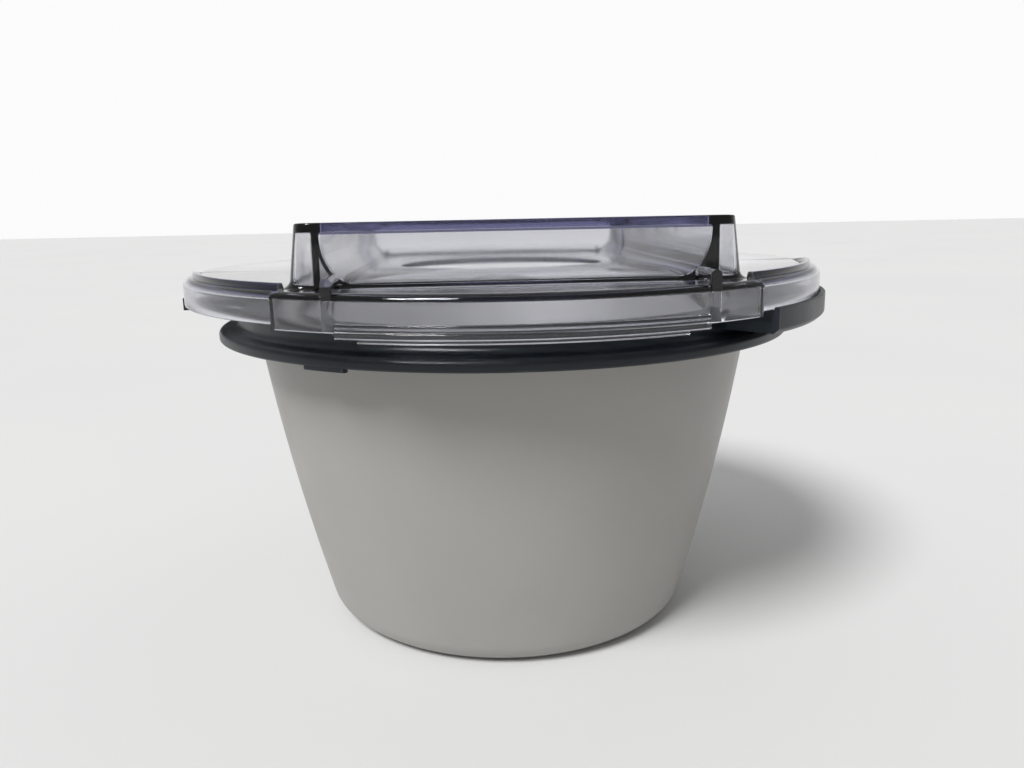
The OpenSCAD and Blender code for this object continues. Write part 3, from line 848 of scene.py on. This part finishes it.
BOWL_PLASTIC = moulded_plastic("bowl_plastic", (0.33, 0.322, 0.304), (0.41, 0.40, 0.38), 0.42, 0.20, specular=0.35)
RING_PLASTIC = moulded_plastic("ring_plastic", (0.006, 0.010, 0.014), (0.04, 0.045, 0.055), 0.36, 0.30, specular=0.35)
STIRRER_PLASTIC = moulded_plastic("stirrer_plastic", (0.72, 0.72, 0.69), (0.80, 0.80, 0.78), 0.35, 0.12)
CLEAR_PLASTIC = clear_plastic("clear_plastic")
LINER_METAL = turned_metal("liner_metal", (0.96, 0.96, 0.955), 0.58, 900.0)
STEEL = turned_metal("steel", (0.60, 0.60, 0.61), 0.24, 1500.0)
SEAL_RUBBER = rubber("seal_rubber", (0.03, 0.03, 0.032))
GEL = moulded_plastic("gel", (0.45, 0.62, 0.78), (0.6, 0.75, 0.9), 0.3, 0.05)


piece(make_shell(), "bowl", "bowl_plastic", BOWL_PLASTIC, "bowl_outer_shell")
piece(make_liner(), "bowl", "liner_metal", LINER_METAL, "bowl_inner_liner")
piece(make_rim_cap(), "bowl", "bowl_plastic", BOWL_PLASTIC, "bowl_rim_cap")
piece(make_ring(), "ring", "ring_plastic", RING_PLASTIC, "adapter_ring")
piece(make_gasket(), "ring", "seal_rubber", SEAL_RUBBER, "ring_gasket")
piece(make_lid(), "lid", "clear_plastic", CLEAR_PLASTIC, "lid")
piece(make_paddle(), "stirrer", "stirrer_plastic", STIRRER_PLASTIC, "stirrer_paddle")
piece(make_coupling(), "stirrer", "steel", STEEL, "drive_coupling")

SLOT_MATERIALS = {"bowl_plastic": BOWL_PLASTIC, "ring_plastic": RING_PLASTIC, "stirrer_plastic": STIRRER_PLASTIC,
                  "clear_plastic": CLEAR_PLASTIC, "liner_metal": LINER_METAL, "steel": STEEL,
                  "seal_rubber": SEAL_RUBBER, "gel": GEL}
for row in frame["record"]["subparts"]:
    node = frame["nodes"][row["node"]]
    for slot_row in node.material_slots:
        slot_row.material = SLOT_MATERIALS[row["material_slot"]]

# ---------------------------------------------------------------- floor and light


def add_floor():
    size = 6.0
    mesh = bpy.data.meshes.new("floor")
    mesh.from_pydata([(-size, -size, 0), (size, -size, 0), (size, size, 0), (-size, size, 0)], [], [(0, 1, 2, 3)])
    floor = bpy.data.objects.new("floor", mesh)
    scene.collection.objects.link(floor)
    m = Nodes("floor_paper")
    m.set("Base Color", m.mix(m.spread(m.noise(3.0, 3), 0.0, 1.0), (0.70, 0.70, 0.70, 1.0), (0.72, 0.72, 0.715, 1.0)))
    m.set("Roughness", 0.75)
    dress(floor, m.material)


add_floor()


def add_sun(name, place, power, spread):
    """A far, soft light that shines from a place towards the object."""
    data = bpy.data.lights.new(name, "SUN")
    data.energy = power
    data.angle = math.radians(spread)
    light = bpy.data.objects.new(name, data)
    light.location = place
    light.rotation_euler = (-Vector(place)).to_track_quat("-Z", "Y").to_euler()
    scene.collection.objects.link(light)


add_sun("key", (-0.45, -0.6, 0.85), 3.0, 20)


BACKDROP = 0.97
SKY_FRONT = 0.32
SKY_BACK = 0.55
HORIZON_BACK = 0.95


def add_world():
    """A white backdrop, a bright band low behind the object, a softer sky and a dim front."""
    world = bpy.data.worlds.new("studio")
    world.use_nodes = True
    tree = world.node_tree
    split = tree.nodes.new("ShaderNodeSeparateXYZ")
    tree.links.new(tree.nodes.new("ShaderNodeTexCoord").outputs["Generated"], split.inputs[0])

    def ramp(source, low, high, out_low, out_high):
        node = tree.nodes.new("ShaderNodeMapRange")
        node.interpolation_type = "SMOOTHSTEP"
        node.inputs["From Min"].default_value = low
        node.inputs["From Max"].default_value = high
        for key, value in (("To Min", out_low), ("To Max", out_high)):
            if isinstance(value, float):
                node.inputs[key].default_value = value
            else:
                tree.links.new(value, node.inputs[key])
        tree.links.new(source, node.inputs["Value"])
        return node.outputs["Result"]

    back = ramp(split.outputs["Z"], 0.03, 0.20, HORIZON_BACK, SKY_BACK)
    sky = ramp(split.outputs["Y"], -0.3, 0.5, SKY_FRONT, back)
    seen = ramp(tree.nodes.new("ShaderNodeLightPath").outputs["Is Camera Ray"], 0.0, 1.0, sky, BACKDROP)
    tree.links.new(seen, tree.nodes["Background"].inputs["Strength"])
    tree.nodes["Background"].inputs["Color"].default_value = (1.0, 1.0, 1.0, 1.0)
    scene.world = world


add_world()
scene.cycles.max_bounces = 24
scene.cycles.transmission_bounces = 24
scene.view_settings.view_transform = "Standard"
